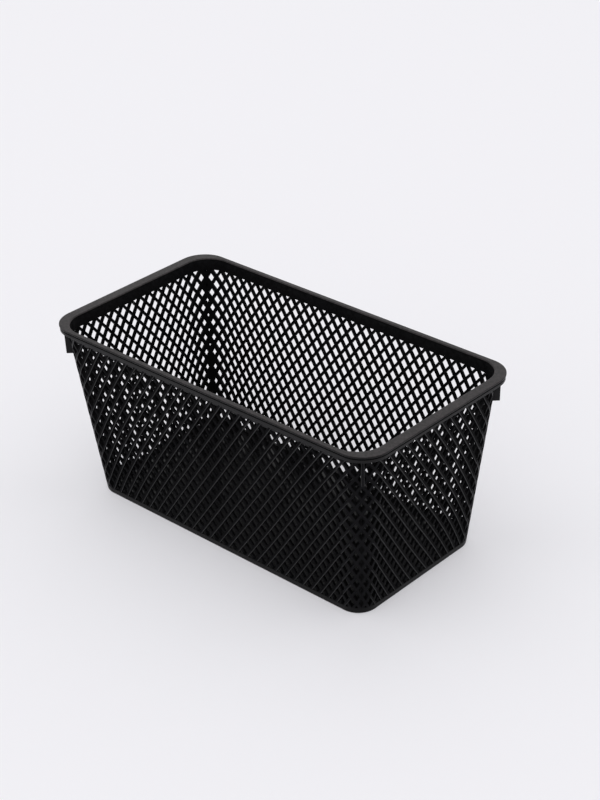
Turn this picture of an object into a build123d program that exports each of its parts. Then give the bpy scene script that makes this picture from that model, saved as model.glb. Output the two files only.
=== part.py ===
from build123d import *
import math
import os

# Driving sizes, in millimetres
rim_length = 285.0
rim_width = 150.0
height = 131.0
foot_length = 245.0
foot_width = 118.0

# Rim
rim_corner_radius = 19.5
rim_thickness = 1.7
rim_edge_round = 0.6
mouth_edge_round = 1.2
rim_under_round = 0.3
end_flange = 7.6
side_flange = 3.7
neck_setback = 0.9
neck_height = 0.7
lip_setback = 0.45
lip_height = 2.1
lip_thickness = 1.6

# Wall: an outer and an inner layer of ribs that cross
outer_rib_depth = 1.25
inner_rib_depth = 1.25
rib_width = 1.7
top_corner_radius = 21.0
foot_corner_radius = 14.3

# Solid bands above and below the lattice, measured from the top edge or the ground
band_ring_depth = 4.8
outer_band_depth = 6.3
inner_band_depth = 8.6
foot_ring_height = 3.7
foot_band_height = 4.7
foot_edge_round = 1.2

# Lattice: rows counted down from the first row, columns from a wall's middle to a corner's middle
row_count = 22
first_row_depth = 8.5
last_row_height = 3.01
long_columns = 31
short_columns = 16
fan_reach = 95.0
edge_points = 8

# The corner's middle column stands a little off the diagonal, towards the short wall, in degrees
corner_turn = 3.2

# Holes in the corners, from the middle column outwards
corner_width_shares = (0.65, 0.78, 0.92, 1.0, 1.0, 1.0)
corner_inner_shares = (0.46, 0.68, 0.83, 0.95, 1.0, 1.0)
corner_closing_shares = (1.0, 0.5, 0.15, 0.05, 0.0, 0.0)
least_through_share = 0.2

# Gusset under each rim corner
gusset_thickness = 1.9
gusset_drop = 22.8
gusset_projection = 2.2
gusset_lean = 0.5

# Floor
floor_lift = 0.8
floor_thickness = 2.0

# How far a cutting shape runs past what it cuts
overrun = 1.0

wall = outer_rib_depth + inner_rib_depth
row_step = (height - first_row_depth - last_row_height) / (row_count - 1)
middle_facing = math.pi / 4 - math.radians(corner_turn)
top_half_length = rim_length / 2 - end_flange + wall
top_half_width = rim_width / 2 - side_flange + wall
band_bottom = height - band_ring_depth
rim_underside = height - rim_thickness


def between(low, high, z):
    return low + (high - low) * z / height


def half_length(z):
    return between(foot_length / 2, top_half_length, z)


def half_width(z):
    return between(foot_width / 2, top_half_width, z)


def corner_radius(z):
    return between(foot_corner_radius, top_corner_radius, z)


def wall_section(z, inset):
    # The outline of the basket's wall at height z, moved inwards by inset
    length = 2 * (half_length(z) - inset)
    width = 2 * (half_width(z) - inset)
    return Pos(0, 0, z) * RectangleRounded(length, width, corner_radius(z) - inset)


def wall_volume(low, high, inset):
    return loft([wall_section(low, inset), wall_section(high, inset)], ruled=True)


def wall_ring(low, high):
    inside = wall_volume(low - overrun, high + overrun, wall)
    return wall_volume(low, high, 0) - inside


def rim_outline(inset):
    return RectangleRounded(rim_length - 2 * inset, rim_width - 2 * inset, rim_corner_radius - inset)


# Rim: a flat plate, a neck set back under it, and a lip that hangs below the neck
def make_rim_plate():
    plate = Pos(0, 0, rim_underside) * extrude(rim_outline(0), rim_thickness)
    plate -= wall_volume(rim_underside - overrun, height + overrun, wall)
    outer_edges = plate.faces().sort_by(Axis.Z)[-1].outer_wire().edges()
    plate = fillet(outer_edges, rim_edge_round)
    mouth_edges = plate.faces().sort_by(Axis.Z)[-1].inner_wires()[0].edges()
    plate = fillet(mouth_edges, mouth_edge_round)
    under_edges = plate.faces().sort_by(Axis.Z)[0].outer_wire().edges()
    return fillet(under_edges, rim_under_round)


def make_rim_ring(setback, top, depth):
    ring = extrude(rim_outline(setback) - rim_outline(lip_setback + lip_thickness), depth)
    ring = Pos(0, 0, top - depth) * ring
    return ring - wall_volume(top - depth - overrun, top + overrun, 0)


# Lattice: each column drifts towards its corner on the way down, because the wall narrows
class Side:
    def __init__(self, half_top, half_foot, wall_half, columns, corner_angle):
        self.flat_top = half_top - top_corner_radius
        self.flat_foot = half_foot - foot_corner_radius
        self.corner_angle = corner_angle
        self.corner_top = self.flat_top + top_corner_radius * corner_angle
        self.corner_foot = self.flat_foot + foot_corner_radius * corner_angle
        self.wall_half = wall_half
        self.columns = columns
        self.reach = min(fan_reach, self.corner_top)
        self.column_step = self.corner_top / columns
        self.slope = self.column_step / row_step

    def narrowing(self, z):
        return (self.corner_top - self.corner_foot) * (height - z) / height

    def fan(self, place):
        from_corner = max(self.corner_top - abs(place), 0)
        return max(1 - from_corner / self.reach, 0) ** 2

    def at_height(self, place, z):
        return place - math.copysign(self.narrowing(z) * self.fan(place), place)

    def flat_half(self, z):
        return between(self.flat_foot, self.flat_top, z)


def row_height(row):
    return height - first_row_depth - row * row_step


def rib_edge(side, rib_place, lean, turn, low, high):
    # One edge of a rib, as points from low to high; the rib's middle is at rib_place in the first row
    points = []
    rise = (high - low) / edge_points
    for step in range(edge_points + 1):
        z = low + step * rise
        middles = []
        for near in (z - rise / 2, z + rise / 2):
            place = rib_place + lean * side.slope * (near - row_height(0))
            middles.append(side.at_height(place, near))
        run = (middles[1] - middles[0]) / rise
        place = rib_place + lean * side.slope * (z - row_height(0))
        reach = rib_width / 2 * math.hypot(1, run)
        points.append((side.at_height(place, z) + turn * reach, z))
    return points


def make_rib_layer(side, lean, outset, depth, band_depth):
    # A plate in the leaning wall, cut into ribs by one long slot between each pair
    low, high = foot_band_height, height - band_depth
    rise = math.hypot(height, side.wall_half(height) - side.wall_half(0)) / height
    origin = (0, outset - side.wall_half(0), 0)
    upwards = (0, -(side.wall_half(height) - side.wall_half(0)), height)
    outwards = Vector(1, 0, 0).cross(Vector(*upwards))
    leaning = Plane(origin=origin, x_dir=(1, 0, 0), z_dir=outwards)

    def on_plane(points):
        return [(x, z * rise) for x, z in points]

    corners = []
    for z, turn in ((foot_ring_height, -1), (foot_ring_height, 1), (band_bottom, 1), (band_bottom, -1)):
        corners.append((turn * side.flat_half(z), z))
    plate = make_face(Polyline(on_plane(corners), close=True))
    slots = []
    travel = side.slope * (high - low)
    for count in range(-2 * side.columns, 2 * side.columns + 1):
        left_rib = 2 * count * side.column_step
        if side.columns % 2 == 0:
            left_rib += side.column_step
        right_rib = left_rib + 2 * side.column_step
        left_edge = rib_edge(side, left_rib, lean, 1, low, high)
        right_edge = rib_edge(side, right_rib, lean, -1, low, high)
        reach = side.flat_half(height)
        if left_edge[0][0] > reach and left_edge[-1][0] > reach:
            continue
        if right_edge[0][0] < -reach and right_edge[-1][0] < -reach:
            continue
        slots.append(make_face(Polyline(on_plane(left_edge + right_edge[::-1]), close=True)))
    face = plate - slots
    return extrude(leaning * face, depth, dir=(0, 1, 0))


# Corners: both rib directions lie flush, with a tapered hole in each mesh
def make_corner(long_side, short_side):
    def section(z):
        centre = (half_length(z) - corner_radius(z), half_width(z) - corner_radius(z))
        outer = CenterArc(centre, corner_radius(z), 0, 90)
        inner = CenterArc(centre, corner_radius(z) - wall, 0, 90)
        ends = [Line(outer @ 0, inner @ 0), Line(outer @ 1, inner @ 1)]
        return Pos(0, 0, z) * make_face([outer, inner] + ends)

    shell = loft([section(foot_ring_height), section(band_bottom)], ruled=True)
    cutters = []
    for row in range(row_count):
        for side, turn in ((long_side, 1), (short_side, -1)):
            for column in range(len(corner_width_shares)):
                if (row + column) % 2 == 0 and not (column == 0 and (turn < 0 or row == 0)):
                    cutters.append(corner_hole(side, turn, row, column))
    return shell - cutters


def corner_hole(side, turn, row, column):
    z = row_height(row)
    radius = corner_radius(z)
    corner_middle = side.corner_top - side.narrowing(z)
    places = []
    for near in (column - 1, column, column + 1):
        place = side.corner_top - near * side.column_step
        places.append(corner_middle - side.at_height(place, z))
    step = (places[2] - places[0]) / 2
    across = places[1]
    half_high = row_step - rib_width / 2 * math.hypot(1, row_step / step)
    half_wide = step - rib_width / 2 * math.hypot(1, step / row_step)
    wide = half_wide * corner_width_shares[column]
    shoulder = half_high * (1 - corner_width_shares[column])
    top = min(half_high, height - outer_band_depth - z)
    bottom = max(-half_high, foot_band_height - z)
    points = clipped_hole(wide, shoulder, half_high, half_wide, bottom, top)
    closing = corner_closing_shares[column] * (height - z) / height
    through = corner_inner_shares[column] * (1 - closing)
    depth = wall
    if through < least_through_share:
        depth = outer_rib_depth
        through = corner_inner_shares[column]

    # The hole faces straight out from the corner's centre line, or square to the flat wall past the arc
    arc_half = radius * side.corner_angle
    angle = min(across, arc_half) / radius
    past = max(across - arc_half, 0)
    facing = middle_facing + turn * angle
    outwards = Vector(math.cos(facing), math.sin(facing), 0)
    sideways = Vector(-math.sin(facing), math.cos(facing), 0)
    centre = Vector(half_length(z) - radius, half_width(z) - radius, z) + sideways * (turn * past)
    loops = []
    taper = (1 - through) / wall
    for inset in (-overrun, depth + overrun * (depth == wall)):
        scale = 1 - taper * inset
        plane = Plane(origin=centre + outwards * (radius - inset), x_dir=sideways, z_dir=outwards)
        loops.append(plane * make_face(Polyline([(x * scale, y * scale) for x, y in points], close=True)))
    return loft(loops, ruled=True)


def clipped_hole(wide, shoulder, half_high, half_wide, bottom, top):
    # A six-sided hole, cut off flat where it would reach into the band above or below
    def width_at(y):
        return min(wide, half_wide * (1 - abs(y) / half_high))

    levels = [bottom]
    for level in (-shoulder, shoulder):
        if bottom < level < top:
            levels.append(level)
    levels.append(top)
    right = [(width_at(level), level) for level in levels]
    left = [(-width_at(level), level) for level in levels[::-1]]
    points = []
    for point in right + left:
        if not points or math.dist(point, points[-1]) > rib_width / 100:
            points.append(point)
    if math.dist(points[0], points[-1]) < rib_width / 100:
        points.pop()
    return points


# Gussets: upright tabs under the rim in line with each corner's middle column
def make_gusset():
    middle = (half_length(height) - top_corner_radius, half_width(height) - top_corner_radius, 0)
    outer_top = top_corner_radius + gusset_projection
    outer_low = outer_top - gusset_lean
    low = height - gusset_drop
    inner = foot_corner_radius - wall
    profile = [(inner, low), (outer_low, low), (outer_top, rim_underside), (inner, rim_underside)]
    across = (math.sin(middle_facing), -math.cos(middle_facing), 0)
    plane = Plane(origin=middle, x_dir=(math.cos(middle_facing), math.sin(middle_facing), 0), z_dir=across)
    tab = extrude(plane * make_face(Polyline(profile, close=True)), gusset_thickness / 2, both=True)
    return tab - wall_volume(low - overrun, height + overrun, 0)


def make_foot_ring():
    ring = wall_ring(0, foot_ring_height)
    ground_edges = ring.faces().sort_by(Axis.Z)[0].outer_wire().edges()
    return fillet(ground_edges, foot_edge_round)


def make_floor():
    return wall_volume(floor_lift, floor_lift + floor_thickness, wall)


def write(shape, name):
    export_step(shape, os.path.join("parts", name + ".step"))


os.makedirs("parts", exist_ok=True)
long_angle = math.pi / 2 - middle_facing
long_side = Side(top_half_length, foot_length / 2, half_width, long_columns, long_angle)
short_side = Side(top_half_width, foot_width / 2, half_length, short_columns, middle_facing)

neck_top = rim_underside
lip_top = neck_top - neck_height
write(make_rim_plate(), "rim_plate")
write(make_rim_ring(neck_setback, neck_top, neck_height), "rim_neck")
write(make_rim_ring(lip_setback, lip_top, lip_height), "rim_lip")
write(wall_ring(band_bottom, rim_underside), "upper_band")

# Seen from outside, the outer ribs rise to the right on the long walls and to the left on the short ones
for side, lean, names in ((long_side, 1, ("front", "back")), (short_side, -1, ("right", "left"))):
    outer = make_rib_layer(side, lean, 0, outer_rib_depth, outer_band_depth)
    inner = make_rib_layer(side, -lean, outer_rib_depth, inner_rib_depth, inner_band_depth)
    quarter = 0 if side is long_side else 90
    for turn, name in enumerate(names):
        place = Rot(0, 0, quarter + 180 * turn)
        write(place * outer, name + "_outer_ribs")
        write(place * inner, name + "_inner_ribs")

corner = make_corner(long_side, short_side)
gusset = make_gusset()
for depth_name, flip_y in (("back", False), ("front", True)):
    for side_name, flip_x in (("right", False), ("left", True)):
        for shape, kind in ((corner, "corner_lattice"), (gusset, "corner_gusset")):
            placed = mirror(shape, about=Plane.XZ) if flip_y else shape
            placed = mirror(placed, about=Plane.YZ) if flip_x else placed
            write(placed, depth_name + "_" + side_name + "_" + kind)

write(make_foot_ring(), "foot_ring")
write(make_floor(), "floor_plate")
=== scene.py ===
import math

import bpy
from mathutils import Matrix, Vector


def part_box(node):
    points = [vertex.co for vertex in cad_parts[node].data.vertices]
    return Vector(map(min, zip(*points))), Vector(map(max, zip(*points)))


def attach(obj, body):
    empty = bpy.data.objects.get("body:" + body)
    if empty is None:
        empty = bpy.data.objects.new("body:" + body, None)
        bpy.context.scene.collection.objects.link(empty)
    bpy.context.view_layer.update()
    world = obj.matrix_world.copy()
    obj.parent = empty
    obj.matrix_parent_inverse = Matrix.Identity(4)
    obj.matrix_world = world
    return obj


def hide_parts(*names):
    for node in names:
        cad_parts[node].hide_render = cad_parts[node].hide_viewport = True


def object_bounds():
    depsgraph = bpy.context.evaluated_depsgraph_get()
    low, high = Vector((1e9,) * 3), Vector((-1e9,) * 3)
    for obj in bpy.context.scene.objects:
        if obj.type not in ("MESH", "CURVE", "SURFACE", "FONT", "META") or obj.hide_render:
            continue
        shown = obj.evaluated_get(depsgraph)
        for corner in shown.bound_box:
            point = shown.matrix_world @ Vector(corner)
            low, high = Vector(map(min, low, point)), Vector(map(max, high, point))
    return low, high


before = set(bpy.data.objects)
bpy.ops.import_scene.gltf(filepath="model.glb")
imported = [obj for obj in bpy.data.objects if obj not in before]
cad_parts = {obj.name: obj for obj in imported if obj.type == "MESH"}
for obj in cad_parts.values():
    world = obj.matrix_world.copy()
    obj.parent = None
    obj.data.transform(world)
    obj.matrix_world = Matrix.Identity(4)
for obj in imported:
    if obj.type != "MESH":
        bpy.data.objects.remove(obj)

cadLow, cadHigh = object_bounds()
mm = 0.001
tiny = 0.1 * mm  # how far a piece is tucked into its neighbour

# Sizes that the whole basket shares; the wall's lean comes from the frame's own boxes
basket = {
    "topCornerRadius": 21.0 * mm,
    "footCornerRadius": 14.3 * mm,
    "rimCornerRadius": 19.5 * mm,
    "wallThickness": 2.5 * mm,
    "outerBandDepth": 6.3 * mm,
    "innerBandDepth": 8.6 * mm,
    "footBandHeight": 4.7 * mm,
    "cornerSteps": 20,
    "cornerTurn": math.radians(3.2),
}
smoothUpTo = {"ring": 35, "ribs": 20, "corner": 32}  # degrees between faces that are shaded smooth
height = cadHigh.z
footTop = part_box("foot_ring")[1]
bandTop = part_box("upper_band")[1]


def wallHalf(axis, z):
    # half the basket's length (axis 0) or width (axis 1) over the wall's outside, at height z
    share = (z - footTop.z) / (bandTop.z - footTop.z)
    return footTop[axis] + (bandTop[axis] - footTop[axis]) * share


def wallRadius(z):
    low, high = basket["footCornerRadius"], basket["topCornerRadius"]
    return low + (high - low) * z / height


# small helpers for working on one piece
def pickOnly(*pieces):
    # the first one becomes the active object
    bpy.ops.object.select_all(action="DESELECT")
    for piece in pieces:
        piece.select_set(True)
    bpy.context.view_layer.objects.active = pieces[0]


def startEditing(piece):
    pickOnly(piece)
    bpy.ops.object.mode_set(mode="EDIT")
    bpy.ops.mesh.select_all(action="DESELECT")


def stopEditing():
    bpy.ops.object.mode_set(mode="OBJECT")


def selectWhere(piece, kind, test):
    # select vertices, edges or faces by a test on them, from edit mode
    bpy.ops.mesh.select_all(action="DESELECT")
    bpy.ops.object.mode_set(mode="OBJECT")
    for part in getattr(piece.data, kind):
        part.select = test(part)
    bpy.ops.object.mode_set(mode="EDIT")


def useSelectMode(kind):
    bpy.ops.mesh.select_mode(type=kind)


def applyModifier(piece, kind, **settings):
    pickOnly(piece)
    modifier = piece.modifiers.new(kind.lower(), kind)
    for name, value in settings.items():
        setattr(modifier, name, value)
    bpy.ops.object.modifier_apply(modifier=modifier.name)


def smoothShade(piece, kind):
    pickOnly(piece)
    bpy.ops.object.shade_smooth_by_angle(angle=math.radians(smoothUpTo[kind]))


def applyPlace():
    bpy.ops.object.transform_apply(location=True, rotation=True, scale=True)


def mergeAndFaceOutwards(piece, nearness=0.002 * mm):
    startEditing(piece)
    bpy.ops.mesh.select_all(action="SELECT")
    bpy.ops.mesh.remove_doubles(threshold=nearness)
    bpy.ops.mesh.normals_make_consistent(inside=False)
    stopEditing()


def copyPiece(piece):
    copy = piece.copy()
    copy.data = piece.data.copy()
    bpy.context.scene.collection.objects.link(copy)
    return copy


def giveMaterials(piece, *materials):
    for material in materials:
        piece.data.materials.append(material)


def finishPiece(piece, name, *nodes):
    piece.name = name
    piece.data.name = name
    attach(piece, "root")
    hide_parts(*nodes)
    print("made", name, len(piece.data.polygons), "faces")


# Camera: matched to the photograph, which is 600 by 800 pixels
view = {
    "azimuth": 43.0921,
    "elevation": 29.8146,
    "roll": -1.7668,
    "focalPixels": 1861.64,
    "imageHeight": 800,
    "distanceInLengths": 4.40842,
    "asideInLengths": 0.05026,
    "upInLengths": 0.05579,
    "aimHeightInLengths": 0.25,
    "sensorWidth": 36,
    "clipRange": (0.05, 50),
}


def makeCamera():
    azimuth, elevation, roll = (math.radians(view[k]) for k in ("azimuth", "elevation", "roll"))
    back = Vector((
        math.sin(azimuth) * math.cos(elevation),
        -math.cos(azimuth) * math.cos(elevation),
        math.sin(elevation),
    ))
    level = Vector((math.cos(azimuth), math.sin(azimuth), 0))
    upright = back.cross(level)
    right = level * math.cos(roll) + upright * math.sin(roll)
    up = upright * math.cos(roll) - level * math.sin(roll)
    length = cadHigh.x - cadLow.x
    place = back * view["distanceInLengths"] + right * view["asideInLengths"] + up * view["upInLengths"]
    place.z += view["aimHeightInLengths"]
    data = bpy.data.cameras.new("camera")
    camera = bpy.data.objects.new("camera", data)
    bpy.context.scene.collection.objects.link(camera)
    turn = Matrix((right, up, back)).transposed().to_4x4()
    camera.matrix_world = Matrix.Translation(place * length) @ turn
    data.sensor_fit = "AUTO"
    data.sensor_width = view["sensorWidth"]
    data.lens = view["sensorWidth"] * view["focalPixels"] / view["imageHeight"]
    data.clip_start, data.clip_end = view["clipRange"]
    bpy.context.scene.camera = camera
    print("made camera")


# Materials
def newGroup(name, inputs, outputs):
    # inputs and outputs: a socket's name and its type
    group = bpy.data.node_groups.new(name, "ShaderNodeTree")
    for way, sockets in (("INPUT", inputs), ("OUTPUT", outputs)):
        for socketName, kind in sockets.items():
            group.interface.new_socket(socketName, in_out=way, socket_type="NodeSocket" + kind)
    return group, group.nodes.new("NodeGroupInput"), group.nodes.new("NodeGroupOutput")


def fillSocket(tree, socket, value):
    # a value is set on the socket itself, and another node's output is linked to it
    if isinstance(value, bpy.types.NodeSocket):
        tree.links.new(value, socket)
    else:
        socket.default_value = value


def addNode(tree, kind, inputs, **settings):
    # inputs: by the socket's name, or by its number where names repeat
    node = tree.nodes.new(kind)
    for name, value in settings.items():
        setattr(node, name, value)
    for name, value in inputs.items():
        fillSocket(tree, node.inputs[name], value)
    return node


def addMapRange(tree, value, fromRange, toRange=(0.0, 1.0), **settings):
    limits = dict(zip(("From Min", "From Max", "To Min", "To Max"), (*fromRange, *toRange)))
    return addNode(tree, "ShaderNodeMapRange", {"Value": value} | limits, **settings).outputs["Result"]


def addMath(tree, operation, first, second, **settings):
    node = addNode(tree, "ShaderNodeMath", {0: first, 1: second}, operation=operation, **settings)
    return node.outputs["Value"]


def addColourMix(tree, share, first, second):
    # a Mix node's colour sockets share their names with others, so they go by number
    return addNode(tree, "ShaderNodeMix", {0: share, 6: first, 7: second}, data_type="RGBA").outputs[2]


mouldFinish = {
    "grainHeight": 0.02 * mm,
    "grainDetail": (3.0, 0.65),
    "patchDetail": (2.0, 0.5),
    "patchContrast": (0.3, 0.7),
    "wearFrom": 0.52,
    "wearTo": 0.60,
    "wearScale": 320.0,
    "wearDetail": 3.0,
    "wearContrast": (0.35, 0.7),
}


def makeMouldGrain():
    # fine spark-eroded grain of a mould, with slow patches where the plastic flowed
    group, source, sink = newGroup(
        "mouldGrain",
        {"Vector": "Vector", "Grain Scale": "Float", "Patch Scale": "Float"},
        {"Grain": "Float", "Patches": "Float"},
    )
    for name, scale, (detail, roughness) in (
        ("Grain", "Grain Scale", mouldFinish["grainDetail"]),
        ("Patches", "Patch Scale", mouldFinish["patchDetail"]),
    ):
        noise = addNode(group, "ShaderNodeTexNoise", {
            "Vector": source.outputs["Vector"],
            "Scale": source.outputs[scale],
            "Detail": detail,
            "Roughness": roughness,
        })
        fillSocket(group, sink.inputs[name], noise.outputs["Fac"])
    return group


def makeEdgeWear():
    # lighter edges where the plastic is handled
    group, source, sink = newGroup(
        "edgeWear", {"Vector": "Vector", "Edge Start": "Float", "Edge End": "Float"}, {"Wear": "Float"}
    )
    limits = (source.outputs["Edge Start"], source.outputs["Edge End"])
    edge = addMapRange(group, addNode(group, "ShaderNodeNewGeometry", {}).outputs["Pointiness"], limits)
    broken = addNode(group, "ShaderNodeTexNoise", {
        "Vector": source.outputs["Vector"],
        "Scale": mouldFinish["wearScale"],
        "Detail": mouldFinish["wearDetail"],
    })
    patchy = addMapRange(group, broken.outputs["Fac"], mouldFinish["wearContrast"])
    fillSocket(group, sink.inputs["Wear"], addMath(group, "MULTIPLY", edge, patchy))
    return group


def makePlastic(name, look):
    material = bpy.data.materials.new(name)
    material.use_nodes = True
    tree = material.node_tree
    place = addNode(tree, "ShaderNodeTexCoord", {}).outputs["Object"]
    grain = addNode(tree, "ShaderNodeGroup", {
        "Vector": place,
        "Grain Scale": look["grainScale"],
        "Patch Scale": look["patchScale"],
    }, node_tree=groups["grain"])
    wear = addNode(tree, "ShaderNodeGroup", {
        "Vector": place,
        "Edge Start": mouldFinish["wearFrom"],
        "Edge End": mouldFinish["wearTo"],
    }, node_tree=groups["wear"])

    # colour: near black, a little lighter in the patches and along the worn edges; sheen speckles, where a
    # look has them, take the patches' place and are a painted mottled sheen
    tone = grain.outputs["Patches"]
    if "sheenSpeckles" in look:
        tone = addMapRange(tree, grain.outputs["Grain"], look["sheenSpeckles"])
    body = addColourMix(tree, tone, (*look["dark"], 1), (*look["light"], 1))
    worn = addColourMix(tree, wear.outputs["Wear"], body, (*look["worn"], 1))
    gloss = addMapRange(tree, grain.outputs["Patches"], mouldFinish["patchContrast"], look["roughness"])
    bump = addNode(tree, "ShaderNodeBump", {
        "Strength": look["bump"],
        "Distance": mouldFinish["grainHeight"],
        "Height": grain.outputs["Grain"],
    })
    shader = tree.nodes["Principled BSDF"]
    for socket, value in (
        ("Base Color", worn),
        ("Roughness", gloss),
        ("Normal", bump.outputs["Normal"]),
        ("IOR", look["ior"]),
        ("Specular IOR Level", look["specular"]),
        ("Specular Tint", (*look["tint"], 1)),
    ):
        fillSocket(tree, shader.inputs[socket], value)
    return material


# the black plastic in general; each copy below is this plastic set lighter, darker, glossier and duller for
# its place, as painted light and shade, and says what differs from it
plastic = {
    "dark": (0.0022, 0.0021, 0.0023),
    "light": (0.0040, 0.0039, 0.0042),
    "worn": (0.016, 0.016, 0.017),
    "roughness": (0.32, 0.44),
    "grainScale": 3200.0,
    "patchScale": 60.0,
    "bump": 0.35,
    "ior": 1.49,
    "specular": 0.02,
    "tint": (1.0, 1.0, 1.0),
}
looks = {
    # the rim's top: a glossier copy with light speckles, so it shows brighter and mottled, as painted light
    "rimPlastic": {
        "dark": (0.0003, 0.0001, 0.0002), "light": (0.0215, 0.0165, 0.0185), "worn": (0.024, 0.023, 0.023),
        "roughness": (0.33, 0.42), "grainScale": 600.0, "patchScale": 38.0, "bump": 1.0,
        "sheenSpeckles": (0.43, 0.63), "specular": 0.35, "tint": (1.0, 0.945, 0.965),
    },
    # the bands, the lip and the foot: copies that differ in gloss, each set for how bright its place shows,
    # as painted light and shade
    "bandPlastic": {
        "roughness": (0.33, 0.44), "patchScale": 38.0, "specular": 0.16, "tint": (1.0, 0.985, 1.0),
    },
    "lipPlastic": {
        "roughness": (0.33, 0.44), "patchScale": 38.0, "specular": 0.21, "tint": (1.0, 0.985, 1.0),
    },
    "footPlastic": {
        "roughness": (0.33, 0.44), "patchScale": 38.0, "specular": 0.11, "tint": (1.0, 0.985, 1.0),
    },
    # the ribs and the rim's neck: a darker, duller copy, painted shade
    "ribPlastic": {
        "dark": (0.0012, 0.0012, 0.0014), "light": (0.0024, 0.0023, 0.0027), "worn": (0.008, 0.008, 0.009),
        "specular": 0.012,
    },
    # the corners' net and the gussets' fronts: a lighter copy, painted light
    "netPlastic": {
        "dark": (0.0048, 0.0048, 0.0055), "light": (0.0080, 0.0079, 0.0088), "worn": (0.014, 0.014, 0.015),
    },
    # faces that look into the basket and the walls of the corners' holes: a duller copy, painted shade
    "innerShadePlastic": {
        "dark": (0.0032, 0.0031, 0.0034), "light": (0.0050, 0.0049, 0.0053), "worn": (0.010, 0.010, 0.011),
        "grainScale": 2400.0,
    },
    # the facets along the ribs' lower edges, the corners' slants and the gussets' edges: a lighter,
    # glossier copy, painted highlight
    "edgeHighlightPlastic": {
        "dark": (0.0030, 0.0030, 0.0034), "light": (0.0056, 0.0056, 0.0062), "worn": (0.018, 0.018, 0.019),
        "roughness": (0.30, 0.40), "grainScale": 1500.0, "bump": 0.6, "specular": 0.22,
    },
    # the basket's floor plate: a darker copy, painted shade, left glossy so it shows real reflections
    "floorPlastic": {
        "dark": (0.0010, 0.0010, 0.0012), "light": (0.0022, 0.0022, 0.0025), "worn": (0.008, 0.008, 0.009),
        "roughness": (0.08, 0.14), "grainScale": 700.0, "patchScale": 30.0, "bump": 0.4, "specular": 0.18,
    },
}
groups = {"grain": makeMouldGrain(), "wear": makeEdgeWear()}
materials = {name: makePlastic(name, plastic | look) for name, look in looks.items()}
print("made", len(materials), "materials")


# Rings: the rim, the bands and the foot are one outline carried round at several heights
def outlineLoop(halfLength, halfWidth, radius, z):
    bpy.ops.object.select_all(action="DESELECT")
    bpy.ops.mesh.primitive_plane_add(size=2, location=(0, 0, z))
    loop = bpy.context.object
    loop.scale = (halfLength, halfWidth, 1)
    applyPlace()
    startEditing(loop)
    bpy.ops.mesh.select_all(action="SELECT")
    bpy.ops.mesh.bevel(
        offset=radius, offset_type="OFFSET", segments=basket["cornerSteps"], profile=0.5, affect="VERTICES"
    )
    bpy.ops.mesh.select_all(action="SELECT")
    bpy.ops.mesh.delete(type="ONLY_FACE")
    stopEditing()
    return loop


def ringPiece(section):
    # section: (half length, half width, corner radius, height) for each corner of the ring's section;
    # every outline has its points in the same order, so the ring is extruded from one to the next
    loops = [outlineLoop(*corner) for corner in section]
    places = [[point.co.copy() for point in loop.data.vertices] for loop in loops]
    ring = loops[0]
    bpy.ops.object.select_all(action="DESELECT")
    for loop in loops[1:]:
        loop.select_set(True)
    bpy.ops.object.delete()
    current = list(range(len(places[0])))
    for target in places[1:] + places[:1]:
        ends, known = set(current), len(ring.data.vertices)
        startEditing(ring)
        useSelectMode("VERT")
        selectWhere(ring, "vertices", lambda v: v.index in ends)
        bpy.ops.mesh.extrude_region_move()
        stopEditing()
        partner = {}
        for edge in ring.data.edges:
            old, new = sorted(edge.vertices)
            if old in ends and new >= known:
                partner[old] = new
        current = [partner[index] for index in current]
        for index, place in zip(current, target):
            ring.data.vertices[index].co = place
    mergeAndFaceOutwards(ring)
    return ring


rim = {
    "thickness": 1.7 * mm,
    "topRounding": 0.35 * mm,
    "mouthRounding": 0.9 * mm,
    "underRounding": 0.9 * mm,
    "neckSetback": 1.5 * mm,
    "neckHeight": 0.7 * mm,
    "lipSetback": 0.45 * mm,
    "lipHeight": 2.1 * mm,
    "lipThickness": 1.6 * mm,
    "lipRounding": 0.35 * mm,
    "bandRounding": 0.2 * mm,
    "roundingSteps": 6,
    "holdShare": 0.1,
    "uprightBelow": 0.35,  # a face whose normal rises less than this is painted as upright
}


def outline(kind, inset, z):
    # a point of a ring's section as (half length, half width, corner radius, height)
    if kind == "rim":
        return (cadHigh.x - inset, cadHigh.y - inset, basket["rimCornerRadius"] - inset, z)
    return (wallHalf(0, z) - inset, wallHalf(1, z) - inset, wallRadius(z) - inset, z)


def sectionLoops(points, roundings):
    # points: ("rim" or "wall", inset, height); each is rounded by (radius, inwards, upwards)
    loops = []
    steps = rim["roundingSteps"]
    for (kind, inset, z), (rounding, inwards, upwards) in zip(points, roundings, strict=True):
        if not rounding:
            loops.append(outline(kind, inset, z))
            continue
        # a holding loop on each side keeps the flat faces flat when shaded smooth
        hold = rounding * rim["holdShare"]
        arc = [outline(kind, inset, z + upwards * (rounding + hold))]
        for step in range(steps + 1):
            turn = math.pi / 2 * step / steps
            across = rounding * (1 - math.cos(turn))
            along = rounding * (1 - math.sin(turn))
            arc.append(outline(kind, inset + inwards * across, z + upwards * along))
        arc.append(outline(kind, inset + inwards * (rounding + hold), z))
        loops += arc if inwards * upwards > 0 else arc[::-1]
    return loops


def paintRing(ring, top, outside, inside):
    # painted light and shade: the top takes a glossier copy of the plastic, so it shows brighter, the
    # upright faces a duller one, and those that look at the basket's middle a duller one still, as painted
    # shade
    giveMaterials(ring, top, outside, inside)
    for face in ring.data.polygons:
        outwards = face.center.x * face.normal.x + face.center.y * face.normal.y > 0
        if face.normal.z < rim["uprightBelow"]:
            face.material_index = 1 if outwards else 2


sharp = (0, 0, 0)


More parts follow.
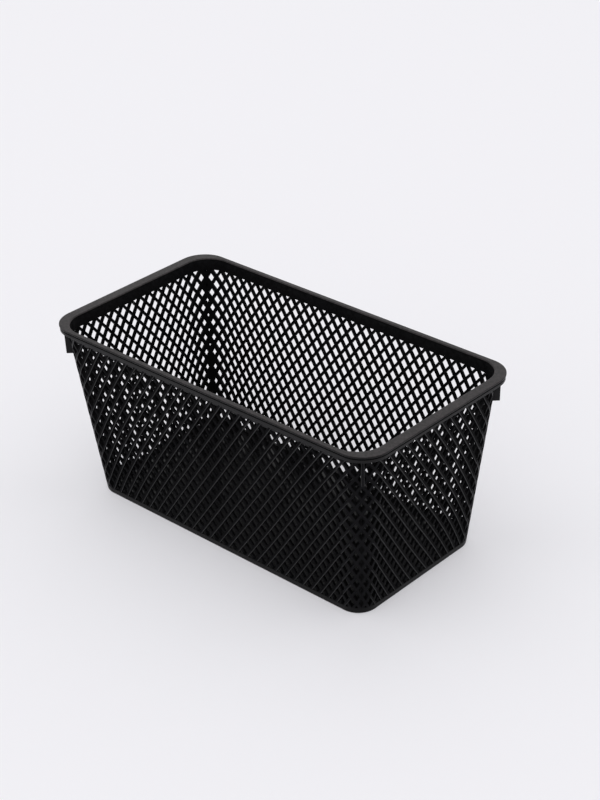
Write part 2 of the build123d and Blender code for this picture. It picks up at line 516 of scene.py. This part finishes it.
def makeRim():
    wall = basket["wallThickness"]
    under = height - rim["thickness"]
    band, inside = materials["bandPlastic"], materials["innerShadePlastic"]
    plate = ringPiece(sectionLoops(
        [("rim", 0, height), ("rim", 0, under), ("wall", wall, under), ("wall", wall, height)],
        [(rim["topRounding"], 1, -1), (rim["underRounding"], 1, 1), sharp, (rim["mouthRounding"], -1, -1)],
    ))
    smoothShade(plate, "ring")
    paintRing(plate, materials["rimPlastic"], band, inside)
    finishPiece(plate, "rimPlate", "rim_plate")

    neckLow = under - rim["neckHeight"]
    outer, inner = rim["neckSetback"], rim["lipSetback"] + rim["lipThickness"]
    neck = ringPiece(sectionLoops(
        [("rim", outer, under), ("rim", outer, neckLow), ("rim", inner, neckLow), ("rim", inner, under)],
        [sharp] * 4,
    ))
    smoothShade(neck, "ring")
    # the neck takes the darkest copy, painted shade in the groove under the plate
    giveMaterials(neck, materials["ribPlastic"])
    finishPiece(neck, "rimNeck", "rim_neck")

    lipLow = neckLow - rim["lipHeight"]
    outer, edge = rim["lipSetback"], rim["lipRounding"]
    lip = ringPiece(sectionLoops(
        [("rim", outer, neckLow), ("rim", outer, lipLow), ("rim", inner, lipLow), ("rim", inner, neckLow)],
        [(edge, 1, -1), (edge, 1, 1), (edge, -1, 1), sharp],
    ))
    smoothShade(lip, "ring")
    giveMaterials(lip, materials["lipPlastic"])
    finishPiece(lip, "rimLip", "rim_lip")

    # the band steps back at half the wall, because it ends higher on the outside
    half, edge = wall / 2, rim["bandRounding"]
    outerLow, innerLow = height - basket["outerBandDepth"], height - basket["innerBandDepth"]
    upperBand = ringPiece(sectionLoops(
        [
            ("wall", 0, under), ("wall", 0, outerLow), ("wall", half, outerLow),
            ("wall", half, innerLow), ("wall", wall, innerLow), ("wall", wall, under),
        ],
        [sharp, (edge, 1, 1), sharp, sharp, (edge, -1, 1), sharp],
    ))
    smoothShade(upperBand, "ring")
    paintRing(upperBand, band, band, inside)
    finishPiece(upperBand, "upperBand", "upper_band")


foot = {"groundRounding": 1.2 * mm, "topRounding": 0.35 * mm}


def makeFoot():
    wall, top = basket["wallThickness"], basket["footBandHeight"]
    edge = foot["topRounding"]
    band = ringPiece(sectionLoops(
        [("wall", 0, top), ("wall", 0, 0), ("wall", wall, 0), ("wall", wall, top)],
        [(edge, 1, -1), (foot["groundRounding"], 1, 1), sharp, (edge, -1, -1)],
    ))
    smoothShade(band, "ring")
    giveMaterials(band, materials["footPlastic"])
    finishPiece(band, "footBand", "foot_ring")


# Walls: two layers of slanting ribs, which fan out a little towards the corners
lattice = {
    "firstRowDepth": 8.5 * mm,
    "rowStep": 5.69 * mm,
    "ribWidth": 1.95 * mm,
    "ribDepth": 1.25 * mm,
    "ribRounding": 0.12 * mm,
    "roundingSteps": 2,
    "facetWidth": 0.45 * mm,
    "facetDepth": 0.22 * mm,
    "facetFacing": (0.5, 0.1),
    "layerOverlap": 0.35 * mm,
    "fanReach": 95 * mm,
    "ribCuts": 13,
    "columns": {"long": 31, "short": 16},  # from a wall's middle to the corner's middle
}
nearly = 0.99  # of a distance from a middle: far enough out to be a point of the border


def rowHeight(row):
    return height - lattice["firstRowDepth"] - row * lattice["rowStep"]


class Wall:
    def __init__(self, kind):
        axis = 0 if kind == "long" else 1
        self.flatTop = wallHalf(axis, height) - wallRadius(height)
        self.flatFoot = wallHalf(axis, 0) - wallRadius(0)
        self.cornerAngle = math.pi / 4 + basket["cornerTurn"] * (1 if kind == "long" else -1)
        self.cornerTop = self.flatTop + wallRadius(height) * self.cornerAngle
        self.cornerFoot = self.flatFoot + wallRadius(0) * self.cornerAngle
        self.columns = lattice["columns"][kind]
        self.step = self.cornerTop / self.columns
        self.slope = self.step / lattice["rowStep"]
        self.reach = min(lattice["fanReach"], self.cornerTop)
        self.axis = axis

    def narrowing(self, z):
        return (self.cornerTop - self.cornerFoot) * (height - z) / height

    def atHeight(self, place, z):
        # columns drift towards the corner on the way down
        fromCorner = max(self.cornerTop - abs(place), 0)
        fan = max(1 - fromCorner / self.reach, 0) ** 2
        return place - math.copysign(self.narrowing(z) * fan, place)

    def flatHalf(self, z):
        return self.flatFoot + (self.flatTop - self.flatFoot) * z / height


walls = {"long": Wall("long"), "short": Wall("short")}


def shapeRib(wall, lean, outside, place, low, high, pitch):
    # one upright rib; its open face has a slanted facet along the edge that becomes the lower one
    depth = lattice["ribDepth"] + lattice["layerOverlap"]
    middle = depth / 2 if outside else basket["wallThickness"] - depth / 2
    stretch = math.hypot(1, wall.slope)
    halfWide = lattice["ribWidth"] * stretch / 2
    openSide = -1 if outside else 1
    bpy.ops.object.select_all(action="DESELECT")
    bpy.ops.mesh.primitive_cube_add(size=1, location=(place, middle, (low + high) / 2))
    rib = bpy.context.object
    rib.scale = (2 * halfWide, depth, high - low)
    applyPlace()
    facetStart = place + lean * (halfWide - lattice["facetWidth"] * stretch)
    startEditing(rib)
    bpy.ops.mesh.select_all(action="SELECT")
    bpy.ops.mesh.bisect(plane_co=(facetStart, 0, 0), plane_no=(1, 0, 0))
    stopEditing()

    def isOpen(point):
        return (point.co.y - middle) * openSide > 0

    def goesUp(edge):
        first, second = (rib.data.vertices[i].co for i in edge.vertices)
        return abs(first.z - second.z) > pitch / 2

    def isUpperEdge(edge):
        point = rib.data.vertices[edge.vertices[0]]
        return goesUp(edge) and isOpen(point) and (point.co.x - place) * lean < -halfWide * nearly

    for point in rib.data.vertices:
        if isOpen(point) and (point.co.x - place) * lean > halfWide * nearly:
            point.co.y -= openSide * lattice["facetDepth"]
    startEditing(rib)
    useSelectMode("EDGE")
    selectWhere(rib, "edges", isUpperEdge)
    bpy.ops.mesh.bevel(
        offset=lattice["ribRounding"], segments=lattice["roundingSteps"], profile=0.5, affect="EDGES"
    )
    stopEditing()
    # the facet takes the lighter, glossier copy, a painted highlight line along the rib's lower edge
    giveMaterials(rib, materials["ribPlastic"], materials["edgeHighlightPlastic"])
    outwards, aside = lattice["facetFacing"]
    for face in rib.data.polygons:
        # only the facet faces outwards and aside
        if face.normal.y * openSide > outwards and face.normal.x * lean > aside:
            face.material_index = 1
    startEditing(rib)
    useSelectMode("EDGE")
    selectWhere(rib, "edges", goesUp)
    bpy.ops.mesh.subdivide(number_cuts=lattice["ribCuts"])
    stopEditing()
    return rib


def makeRibLayer(wall, lean, outside, low, high):
    # one rib is repeated along the wall, slanted, and cut off where the rounded corners start
    pitch = 2 * wall.step
    travel = wall.slope * (high - low)
    first = -math.ceil((wall.flatTop + travel) / pitch)
    shift = wall.step if wall.columns % 2 == 0 else 0
    rib = shapeRib(wall, lean, outside, first * pitch + shift, low, high, pitch)
    applyModifier(
        rib, "ARRAY", count=2 * abs(first) + 1, use_relative_offset=False,
        use_constant_offset=True, constant_offset_displace=(pitch, 0, 0),
    )

    # slant the ribs, and let them drift to the corners as the wall narrows
    stretch = math.hypot(1, wall.slope)
    for point in rib.data.vertices:
        x, z = point.co.x, point.co.z
        ribPlace = round((x - shift) / pitch) * pitch + shift
        aside = x - ribPlace
        place = ribPlace + lean * wall.slope * (z - rowHeight(0))
        ahead = place + lean * wall.slope * mm
        run = (wall.atHeight(ahead, z + mm) - wall.atHeight(place, z)) / mm
        point.co.x = wall.atHeight(place, z) + aside * math.hypot(1, run) / stretch

    startEditing(rib)
    for side in (1, -1):
        edgeFoot = Vector((side * wall.flatHalf(0), 0, 0))
        along = Vector((side * (wall.flatHalf(height) - wall.flatHalf(0)), 0, height))
        outwards = along.cross(Vector((0, side, 0))) * -1
        outwards = outwards if outwards.x * side > 0 else -outwards
        bpy.ops.mesh.select_all(action="SELECT")
        bpy.ops.mesh.bisect(
            plane_co=edgeFoot, plane_no=outwards.normalized(), use_fill=True, clear_outer=True
        )
    stopEditing()
    return rib


def standUp(piece, wall, quarter):
    # lean the flat lattice to the wall and turn it to its side of the basket
    across = 1 - wall.axis
    turn = Matrix.Rotation(quarter * math.pi / 2, 3, "Z")
    for point in piece.data.vertices:
        x, y, z = point.co
        point.co = turn @ Vector((x, y - wallHalf(across, z), z))
    mergeAndFaceOutwards(piece)


sides = {"front": ("long", 0), "right": ("short", 1), "back": ("long", 2), "left": ("short", 3)}


def makeWalls():
    low = basket["footBandHeight"] - tiny
    for side, (kind, quarter) in sides.items():
        for layer, bandDepth in (("Outer", "outerBandDepth"), ("Inner", "innerBandDepth")):
            outside = layer == "Outer"
            lean = 1 if outside == (kind == "long") else -1
            ribs = makeRibLayer(walls[kind], lean, outside, low, height - basket[bandDepth] + tiny)
            standUp(ribs, walls[kind], quarter)
            smoothShade(ribs, "ribs")
            finishPiece(ribs, side + layer + "Ribs", f"{side}_{layer.lower()}_ribs")


# Corners: a net of diamonds, its holes narrower towards the corner's middle and towards the inside
cornerNet = {
    "ribWidth": 1.75 * mm,
    "widthShares": (0.80, 0.92, 0.97, 1.0),
    "innerShares": (0.42, 0.74, 0.88, 0.97),
    "closingShares": (1.0, 0.5, 0.15, 0.05),
    "leastShare": 0.2,
    "pocketDepth": 1.25 * mm,
    "edgeRounding": 0.25 * mm,
    "roundingSteps": 2,
    "roundedFrom": math.radians(50),
    "lowerEdgeFacing": 0.25,
    "slantDepth": 0.08 * mm,
    "slantStart": 2.1,
    "cellsAside": 3,
    "cellsUp": 12,
    "bends": 11,
    "joinNearness": 0.005 * mm,
}


def makeFlatNet():
    # a grid whose faces are poked and then joined across the old edges becomes a net of diamonds
    step, row = walls["long"].step, lattice["rowStep"]
    aside, cellsUp = cornerNet["cellsAside"], cornerNet["cellsUp"]
    bpy.ops.object.select_all(action="DESELECT")
    bpy.ops.mesh.primitive_grid_add(x_subdivisions=2 * aside, y_subdivisions=cellsUp, size=2)
    net = bpy.context.object
    net.scale = (2 * aside * step, cellsUp * row, 1)
    net.rotation_euler = (math.pi / 2, 0, 0)
    net.location = (0, 0, rowHeight(-1) - cellsUp * row)
    applyPlace()
    old = {tuple(sorted(e.vertices)) for e in net.data.edges}
    startEditing(net)
    useSelectMode("EDGE")
    bpy.ops.mesh.select_all(action="SELECT")
    bpy.ops.mesh.poke()
    selectWhere(net, "edges", lambda e: tuple(sorted(e.vertices)) in old)
    bpy.ops.mesh.dissolve_edges(use_verts=False)
    stopEditing()

    # the columns come closer together on the way down
    for point in net.data.vertices:
        x, z = point.co.x, point.co.z
        wall = walls["long"] if x > 0 else walls["short"]
        place = wall.cornerTop - abs(x) * wall.step / step
        middle = wall.cornerTop - wall.narrowing(z)
        point.co.x = math.copysign(middle - wall.atHeight(place, z), x)
    startEditing(net)
    useSelectMode("FACE")
    bpy.ops.mesh.select_all(action="SELECT")
    bpy.ops.mesh.inset(thickness=cornerNet["ribWidth"] / 2, depth=0, use_individual=True, use_boundary=True)
    stopEditing()
    return net


def columnOf(x, z):
    # counted from the corner's middle
    wall = walls["long"] if x > 0 else walls["short"]
    middle = wall.cornerTop - wall.narrowing(z)
    reach = 2 * cornerNet["cellsAside"] + 1
    places = [middle - wall.atHeight(wall.cornerTop - column * wall.step, z) for column in range(reach)]
    return min(range(reach), key=lambda column: abs(places[column] - abs(x)))


def spotOf(x, z, fineness=20):
    # the same for points that lie together
    return (round(x / mm * fineness), round(z / mm * fineness))


def cutHoles(net):
    # each diamond loses its left and right points, more so towards the corner's middle
    widest = len(cornerNet["widthShares"]) - 1
    holes = []
    for face in net.data.polygons:
        if face.select and len(face.vertices) == 4:
            corners = [net.data.vertices[i].co.copy() for i in face.vertices]
            middle = sum(corners, Vector()) / 4
            corners.sort(key=lambda c: c.x)
            holes.append((middle, min(columnOf(middle.x, middle.z), widest), (corners[0], corners[-1])))
    startEditing(net)
    useSelectMode("VERT")
    for column in range(widest):
        spots = {spotOf(c.x, c.z) for middle, place, ends in holes if place == column for c in ends}
        selectWhere(net, "vertices", lambda v: spotOf(v.co.x, v.co.z) in spots)
        cut = (1 - cornerNet["widthShares"][column]) * 100
        bpy.ops.mesh.bevel(
            offset_type="PERCENT", offset_pct=cut, segments=1, affect="VERTICES", clamp_overlap=False
        )
    stopEditing()
    return [(middle, column) for middle, column, ends in holes]


def deepenHoles(net, holes):
    # a slab with a tapered hole, or a blind pocket where the hole closes, in each diamond
    wall = basket["wallThickness"]
    centres = {}
    for middle, column in holes:
        closing = cornerNet["closingShares"][column] * (height - middle.z) / height
        share = cornerNet["innerShares"][column] * (1 - closing)
        centres[spotOf(middle.x, middle.z)] = (middle, column, share)

    def holeOf(face):
        if len(face.vertices) < 4:
            return None
        across, up = spotOf(face.center.x, face.center.z)
        near = [(across + i, up + j) for i in (-1, 0, 1) for j in (-1, 0, 1)]
        return next((centres[spot] for spot in near if spot in centres), None)

    # the slab's back is a copy of its front, and the holes' floors are pulled out well behind both
    backFrom, floorFrom = wall * 0.9, wall * 1.5
    startEditing(net)
    useSelectMode("FACE")
    bpy.ops.mesh.select_all(action="SELECT")
    bpy.ops.mesh.duplicate_move(TRANSFORM_OT_translate={"value": (0, wall, 0)})
    selectWhere(net, "polygons", lambda f: f.center.y < wall / 2 and holeOf(f) is not None)
    bpy.ops.mesh.extrude_region_move(TRANSFORM_OT_translate={"value": (0, wall * 2, 0)})
    stopEditing()
    for face in net.data.polygons:
        hole = holeOf(face)
        if hole is None or face.center.y < backFrom:
            continue
        middle, column, share = hole
        blind = share < cornerNet["leastShare"]
        isFloor = face.center.y > floorFrom
        if blind and not isFloor:
            continue
        shrink = cornerNet["innerShares"][column] if blind else share
        for i in face.vertices:
            point = net.data.vertices[i].co
            point.x = middle.x + (point.x - middle.x) * shrink
            point.z = middle.z + (point.z - middle.z) * shrink
            point.y = cornerNet["pocketDepth"] if blind and isFloor else wall

    def isOpenEnd(face):
        hole = holeOf(face)
        isBack = abs(face.center.y - wall) < wall - backFrom
        return isBack and hole is not None and hole[2] >= cornerNet["leastShare"]

    startEditing(net)
    useSelectMode("FACE")
    selectWhere(net, "polygons", isOpenEnd)
    bpy.ops.mesh.delete(type="FACE")
    bpy.ops.mesh.select_all(action="SELECT")
    bpy.ops.mesh.remove_doubles(threshold=cornerNet["joinNearness"])
    useSelectMode("EDGE")
    bpy.ops.mesh.select_all(action="DESELECT")
    bpy.ops.mesh.select_non_manifold(
        extend=False, use_wire=False, use_multi_face=False, use_non_contiguous=False, use_verts=False
    )
    bpy.ops.mesh.bridge_edge_loops()
    bpy.ops.mesh.select_all(action="SELECT")
    bpy.ops.mesh.normals_make_consistent(inside=False)
    stopEditing()


def paintNet(net):
    # painted light and shade: the open faces in the lighter net copy, painted highlight lines on the slants
    # along the ribs' lower edges, and painted shade in the holes
    giveMaterials(net, materials["netPlastic"], materials["edgeHighlightPlastic"], materials["innerShadePlastic"])
    rounded = cornerNet["edgeRounding"] * 1.1  # a face that reaches deeper than this is inside a hole
    facing = -cornerNet["lowerEdgeFacing"]
    for face in net.data.polygons:
        if max(net.data.vertices[i].co.y for i in face.vertices) > rounded:
            face.material_index = 2
        elif face.normal.z < facing and face.normal.y < facing:
            face.material_index = 1


def trimNet(net):
    # cut off at the bands and where the corner's arc ends, then score upright lines to bend along
    highest, lowest = height - basket["outerBandDepth"] + tiny, basket["footBandHeight"] - tiny
    startEditing(net)
    for z, up in ((highest, 1), (lowest, -1)):
        bpy.ops.mesh.select_all(action="SELECT")
        bpy.ops.mesh.bisect(plane_co=(0, 0, z), plane_no=(0, 0, up), use_fill=True, clear_outer=True)
    for side, kind in ((1, "long"), (-1, "short")):
        angle = walls[kind].cornerAngle
        for count in range(cornerNet["bends"], -1, -1):
            share = count / cornerNet["bends"]
            start = Vector((side * wallRadius(0) * angle * share, 0, 0))
            along = Vector((side * (wallRadius(height) - wallRadius(0)) * angle * share, 0, height))
            outwards = Vector((along.z, 0, -along.x)) * side
            ending = count == cornerNet["bends"]
            bpy.ops.mesh.select_all(action="SELECT")
            bpy.ops.mesh.bisect(plane_co=start, plane_no=outwards, use_fill=ending, clear_outer=ending)
    stopEditing()


def wrapCorner(net):
    # bend the flat net round the corner of the leaning wall, in the basket's +x +y quarter
    middleFacing = math.pi / 4 - basket["cornerTurn"]
    for point in net.data.vertices:
        x, depth, z = point.co
        radius = wallRadius(z)
        facing = middleFacing + x / radius
        reach = radius - depth
        point.co.x = wallHalf(0, z) - radius + reach * math.cos(facing)
        point.co.y = wallHalf(1, z) - radius + reach * math.sin(facing)


def makeHighlightSlants(rising):
    # thin strips on the corner's face carry the painted highlight lines along the lower edges of the outer
    # ribs on over the sides of the corner
    step, row = walls["long"].step, lattice["rowStep"]
    cellsAside, bends = cornerNet["cellsAside"], cornerNet["bends"]
    reach = 2 * cellsAside * step
    start = cornerNet["slantStart"] * step
    slope = row / step
    upright = math.hypot(1, slope)
    wide = lattice["facetWidth"] * upright
    top = rowHeight(-1) - cornerNet["ribWidth"] / 2 * upright + wide / 2
    top += 2 * cellsAside * row if rising else 0
    halves = []
    for side, wall in ((1, walls["long"]), (-1, walls["short"])):
        bpy.ops.object.select_all(action="DESELECT")
        bpy.ops.mesh.primitive_cube_add(size=1, location=((start + reach) / 2, 0, top))
        half = bpy.context.object
        half.scale = (reach - start, cornerNet["slantDepth"], wide)
        applyPlace()
        applyModifier(
            half, "ARRAY", use_relative_offset=False, use_constant_offset=True,
            constant_offset_displace=(0, 0, -2 * row), count=cornerNet["cellsUp"] + cellsAside + 1,
        )
        startEditing(half)
        for count in range(1, bends):
            bpy.ops.mesh.select_all(action="SELECT")
            bpy.ops.mesh.bisect(plane_co=(reach * count / bends, 0, 0), plane_no=(1, 0, 0))
        stopEditing()
        for point in half.data.vertices:
            x = point.co.x
            z = point.co.z + (-slope if rising else slope) * x
            middle = wall.cornerTop - wall.narrowing(z)
            point.co.x = side * (middle - wall.atHeight(wall.cornerTop - x * wall.step / step, z))
            point.co.z = z
        halves.append(half)
    pickOnly(*halves)
    bpy.ops.object.join()
    slants = bpy.context.object
    giveMaterials(slants, materials["edgeHighlightPlastic"])
    trimNet(slants)
    wrapCorner(slants)
    return slants


quarters = {"back_right": (1, 1), "back_left": (-1, 1), "front_right": (1, -1), "front_left": (-1, -1)}


def mirroredCopies(piece, name, nodeKind, wanted=tuple(quarters)):
    # the same corner, mirrored to the other quarters; the first one isn't needed after that
    copies = {quarter: copyPiece(piece) for quarter in wanted}
    bpy.data.objects.remove(piece)
    for quarter, copy in copies.items():
        alongX, alongY = quarters[quarter]
        for point in copy.data.vertices:
            point.co.x *= alongX
            point.co.y *= alongY
        mergeAndFaceOutwards(copy)
        smoothShade(copy, "corner")
        depth, side = quarter.split("_")
        finishPiece(copy, depth + side.title() + name, quarter + nodeKind)


def makeCorners():
    net = makeFlatNet()
    holes = cutHoles(net)
    deepenHoles(net, holes)
    applyModifier(
        net, "BEVEL", width=cornerNet["edgeRounding"], segments=cornerNet["roundingSteps"],
        limit_method="ANGLE", angle_limit=cornerNet["roundedFrom"],
    )
    paintNet(net)
    trimNet(net)
    wrapCorner(net)
    # the outer ribs rise towards two of the corners and fall towards the other two
    for rising, wanted in ((True, ("front_right", "back_left")), (False, ("front_left", "back_right"))):
        slants = makeHighlightSlants(rising)
        corner = copyPiece(net)
        pickOnly(corner, slants)
        bpy.ops.object.join()
        mirroredCopies(corner, "CornerNet", "_corner_lattice", wanted)
    bpy.data.objects.remove(net)


# Gussets: upright tabs under the rim in line with each corner's middle
gusset = {
    "thickness": 1.9 * mm,
    "drop": 22.8 * mm,
    "projection": 2.2 * mm,
    "lean": 0.5 * mm,
    "edgeRounding": 0.35 * mm,
    "roundingSteps": 3,
    "tucked": 0.6 * mm,
    "edgeFacing": 0.2,
    "sideFacing": 0.98,
}


def arcCentre(z):
    radius = wallRadius(z)
    return Vector((wallHalf(0, z) - radius, wallHalf(1, z) - radius, 0))


def makeGussets():
    bpy.ops.object.select_all(action="DESELECT")
    bpy.ops.mesh.primitive_cube_add(size=2)
    tab = bpy.context.object
    low, high = height - gusset["drop"], height - rim["thickness"]
    topReach = basket["topCornerRadius"] + gusset["projection"]
    facing = math.pi / 4 - basket["cornerTurn"]
    outwards = Vector((math.cos(facing), math.sin(facing), 0))
    sideways = Vector((-math.sin(facing), math.cos(facing), 0))
    for point in tab.data.vertices:
        isTop, isOuter = point.co.z > 0, point.co.x > 0
        z = high if isTop else low
        # the inner edge follows the wall, just inside its surface
        if isOuter:
            spot = arcCentre(height) + outwards * (topReach - (0 if isTop else gusset["lean"]))
        else:
            spot = arcCentre(z) + outwards * (wallRadius(z) - gusset["tucked"])
        spot += sideways * math.copysign(gusset["thickness"] / 2, point.co.y)
        point.co = Vector((spot.x, spot.y, z))
    applyModifier(
        tab, "BEVEL", width=gusset["edgeRounding"], segments=gusset["roundingSteps"], limit_method="NONE"
    )
    # painted light: the front takes the lighter net copy, the rounded edges a painted highlight, the broad
    # sides the band's copy
    giveMaterials(tab, materials["netPlastic"], materials["edgeHighlightPlastic"], materials["bandPlastic"])
    for face in tab.data.polygons:
        aside = abs(face.normal.dot(sideways))
        if aside > gusset["sideFacing"]:
            face.material_index = 2
        elif aside > gusset["edgeFacing"]:
            face.material_index = 1
    mirroredCopies(tab, "Gusset", "_corner_gusset")


def paintCadNodes():
    # what no piece replaces, which is the floor plate, is seen as the CAD made it
    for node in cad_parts.values():
        if not node.hide_render:
            node.data.materials.clear()
            giveMaterials(node, materials["floorPlastic"])


# Floor and light
stage = {
    "floorSize": 30.0,
    "floorColour": (0.895, 0.888, 0.925),
    "floorRoughness": 0.9,
    "floorGlow": 0.3,
    "skyFrom": (0.45, -0.50, 0.74),
    "skyRange": (-0.7, 0.9),
    "skyStrength": (0.83, 1.0),
    "skyColour": (1.0, 1.0, 1.0),
    "keyPower": 2.0,
    "keySize": 1.4,
    "keyFrom": (-0.3, -0.5, 2.2),
}


def makeFloor():
    bpy.ops.object.select_all(action="DESELECT")
    bpy.ops.mesh.primitive_plane_add(size=stage["floorSize"], location=(0, 0, 0))
    floor = bpy.context.object
    floor.name = "floor"
    material = bpy.data.materials.new("paleFloor")
    material.use_nodes = True
    tree = material.node_tree
    shader = tree.nodes["Principled BSDF"]
    colour = (*stage["floorColour"], 1)
    fillSocket(tree, shader.inputs["Base Color"], colour)
    fillSocket(tree, shader.inputs["Roughness"], stage["floorRoughness"])
    # what is seen of the floor, in reflections too, is partly its own colour, so its shadows stay light
    glow = addNode(tree, "ShaderNodeEmission", {"Color": colour})
    ray = addNode(tree, "ShaderNodeLightPath", {})
    share = ray.outputs["Is Camera Ray"]
    for kind in ("Is Glossy Ray", "Is Transmission Ray"):
        share = addMath(tree, "ADD", share, ray.outputs[kind], use_clamp=True)
    share = addMath(tree, "MULTIPLY", share, stage["floorGlow"])
    surfaces = {1: shader.outputs["BSDF"], 2: glow.outputs["Emission"]}
    mixed = addNode(tree, "ShaderNodeMixShader", {0: share} | surfaces)
    fillSocket(tree, tree.nodes["Material Output"].inputs["Surface"], mixed.outputs["Shader"])
    giveMaterials(floor, material)
    print("made floor")


def makeLight():
    # the studio is a little brighter above and on the camera's side than behind the basket
    world = bpy.data.worlds.new("studio")
    bpy.context.scene.world = world
    world.use_nodes = True
    tree = world.node_tree
    direction = addNode(tree, "ShaderNodeTexCoord", {}).outputs["Generated"]
    aims = {0: direction, 1: stage["skyFrom"]}
    towards = addNode(tree, "ShaderNodeVectorMath", aims, operation="DOT_PRODUCT").outputs["Value"]
    strength = addMapRange(
        tree, towards, stage["skyRange"], stage["skyStrength"], interpolation_type="SMOOTHSTEP"
    )
    background = tree.nodes["Background"]
    fillSocket(tree, background.inputs["Color"], (*stage["skyColour"], 1))
    fillSocket(tree, background.inputs["Strength"], strength)

    data = bpy.data.lights.new("softbox", "AREA")
    data.energy = stage["keyPower"]
    data.size = stage["keySize"]
    lamp = bpy.data.objects.new("softbox", data)
    bpy.context.scene.collection.objects.link(lamp)
    lamp.location = stage["keyFrom"]
    lamp.rotation_mode = "QUATERNION"
    lamp.rotation_quaternion = Vector(stage["keyFrom"]).to_track_quat("Z", "Y")
    print("made light")


makeCamera()
makeRim()
makeFoot()
makeWalls()
makeCorners()
makeGussets()
paintCadNodes()
makeFloor()
makeLight()
bpy.context.scene.view_settings.view_transform = "Standard"
